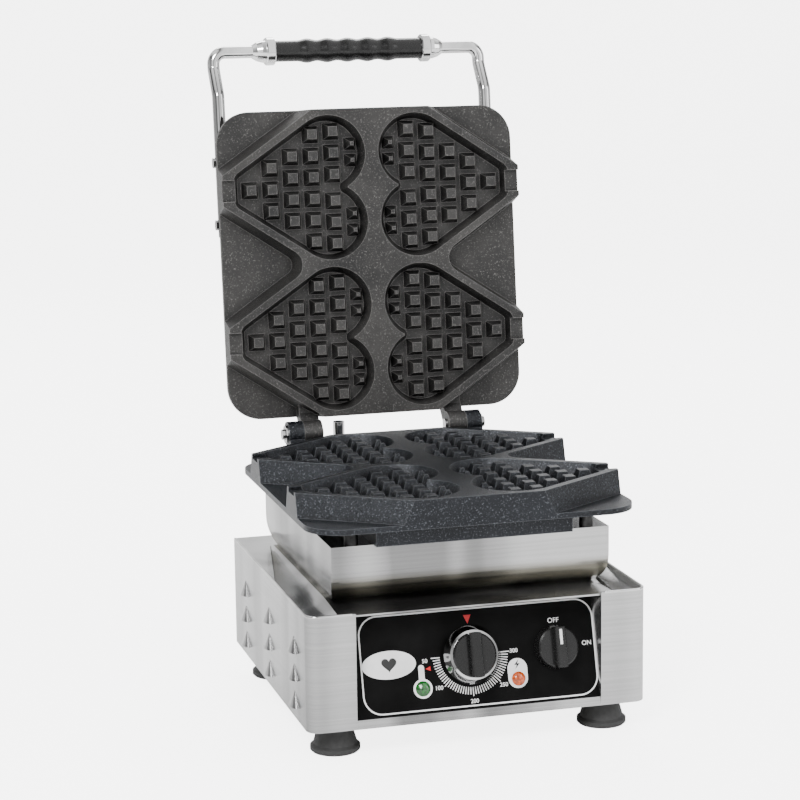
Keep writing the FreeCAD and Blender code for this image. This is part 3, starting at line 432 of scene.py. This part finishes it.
def plain(name, color, rough):
    """A pale floor that glows for the camera only, so it lights nothing."""
    mat, tree, shader = new_material(name)
    cloud = noise(tree, 2.0, (1, 1, 1), 1.0)
    shades = ramp(tree, cloud, [(0.2, grey(color)), (0.8, grey(color + 0.01))])
    tree.links.new(shades, shader.inputs["Base Color"])
    shader.inputs["Roughness"].default_value = rough
    shader.inputs["Emission Color"].default_value = (1, 1, 1, 1)
    sight = add(tree, "ShaderNodeLightPath")
    glow = add(tree, "ShaderNodeMapRange")
    glow.inputs["To Min"].default_value = 0.0
    glow.inputs["To Max"].default_value = 4.5
    tree.links.new(sight.outputs["Is Camera Ray"], glow.inputs["Value"])
    tree.links.new(glow.outputs[0], shader.inputs["Emission Strength"])
    return mat


bm = bmesh.new()
sweep = [(-6.0, 0.0)] + [(3.0 + 2.0 * math.sin(math.radians(a)), 2.0 - 2.0 * math.cos(math.radians(a)))
                         for a in range(0, 91, 6)] + [(5.0, 7.0)]
rows = [[bm.verts.new((x, y, z)) for x in (-9, 9)] for y, z in sweep]
for near, far in zip(rows, rows[1:]):
    bm.faces.new([near[0], near[1], far[1], far[0]])
mesh = bpy.data.meshes.new("floor")
bm.to_mesh(mesh)
bm.free()
floor = bpy.data.objects.new("floor", mesh)
bpy.context.scene.collection.objects.link(floor)
mesh.materials.append(plain("pale_floor", 0.93, 0.8))
for face in mesh.polygons:
    face.use_smooth = True

world = bpy.data.worlds.new("studio")
bpy.context.scene.world = world
world.use_nodes = True
bands = world.node_tree
backdrop = bands.nodes["Background"]
rays = add(bands, "ShaderNodeLightPath")
choice = add(bands, "ShaderNodeMapRange")
direction = add(bands, "ShaderNodeTexCoord")
split = add(bands, "ShaderNodeSeparateXYZ")
bands.links.new(direction.outputs["Generated"], split.inputs[0])
spread = add(bands, "ShaderNodeMapRange")
spread.inputs["From Min"].default_value = -1.0
bands.links.new(split.outputs["X"], spread.inputs["Value"])
studio = ramp(bands, spread.outputs[0], [
    (0.00, grey(0.55)), (0.10, grey(0.06)), (0.22, grey(1.2)), (0.36, grey(1.0)), (0.45, grey(0.10)),
    (0.56, grey(1.1)), (0.80, grey(1.2)), (0.90, grey(0.06)), (1.00, grey(0.7))])
blend = add(bands, "ShaderNodeMix", data_type="RGBA")
bands.links.new(rays.outputs["Is Camera Ray"], blend.inputs[MIX_FACTOR])
bands.links.new(studio, blend.inputs[MIX_FIRST])
blend.inputs[MIX_SECOND].default_value = (1, 1, 1, 1)
bands.links.new(blend.outputs[MIX_RESULT], backdrop.inputs["Color"])
choice.inputs["To Min"].default_value = 1.35
choice.inputs["To Max"].default_value = 7.5
bands.links.new(rays.outputs["Is Camera Ray"], choice.inputs["Value"])
bands.links.new(choice.outputs[0], backdrop.inputs["Strength"])


def area(name, place, aim, width, height, power):
    data = bpy.data.lights.new(name, "AREA")
    data.shape = "RECTANGLE"
    data.size, data.size_y, data.energy = width, height, power
    light = bpy.data.objects.new(name, data)
    light.location = place
    light.rotation_euler = (Vector(aim) - Vector(place)).to_track_quat("-Z", "Y").to_euler()
    bpy.context.scene.collection.objects.link(light)


area("key", (-1.6, -2.2, 2.4), (0, 0, 0.25), 1.0, 1.0, 105)
area("fill", (2.2, -1.4, 1.2), (0, 0, 0.25), 0.8, 1.6, 16)
area("back", (0.4, 2.0, 2.2), (0, 0, 0.3), 1.6, 1.0, 40)

# The camera looks at the machine from the left front; its distance is in metres.
DISTANCE = 2.1539
yaw, rise, roll = math.radians(15.65), math.radians(10.59), math.radians(-0.74)
back = Vector((-math.sin(yaw) * math.cos(rise), -math.cos(yaw) * math.cos(rise), math.sin(rise)))
level_right = Vector((math.cos(yaw), -math.sin(yaw), 0))
level_up = back.cross(level_right)
right = level_right * math.cos(roll) + level_up * math.sin(roll)
up = level_up * math.cos(roll) - level_right * math.sin(roll)
hinge = next(joint for joint in frame["joints"] if joint["name"] == "lid_hinge")["pos_m"]
target = Vector((-0.0269, hinge[1] - 0.1554, 0.2796))
camera_data = bpy.data.cameras.new("camera")
camera_data.sensor_width = 36.0
camera_data.lens = 107.86
camera = bpy.data.objects.new("camera", camera_data)
bpy.context.scene.collection.objects.link(camera)
turn = Matrix((right, up, back)).transposed().to_4x4()
camera.matrix_world = Matrix.Translation(target + back * DISTANCE) @ turn
bpy.context.scene.camera = camera
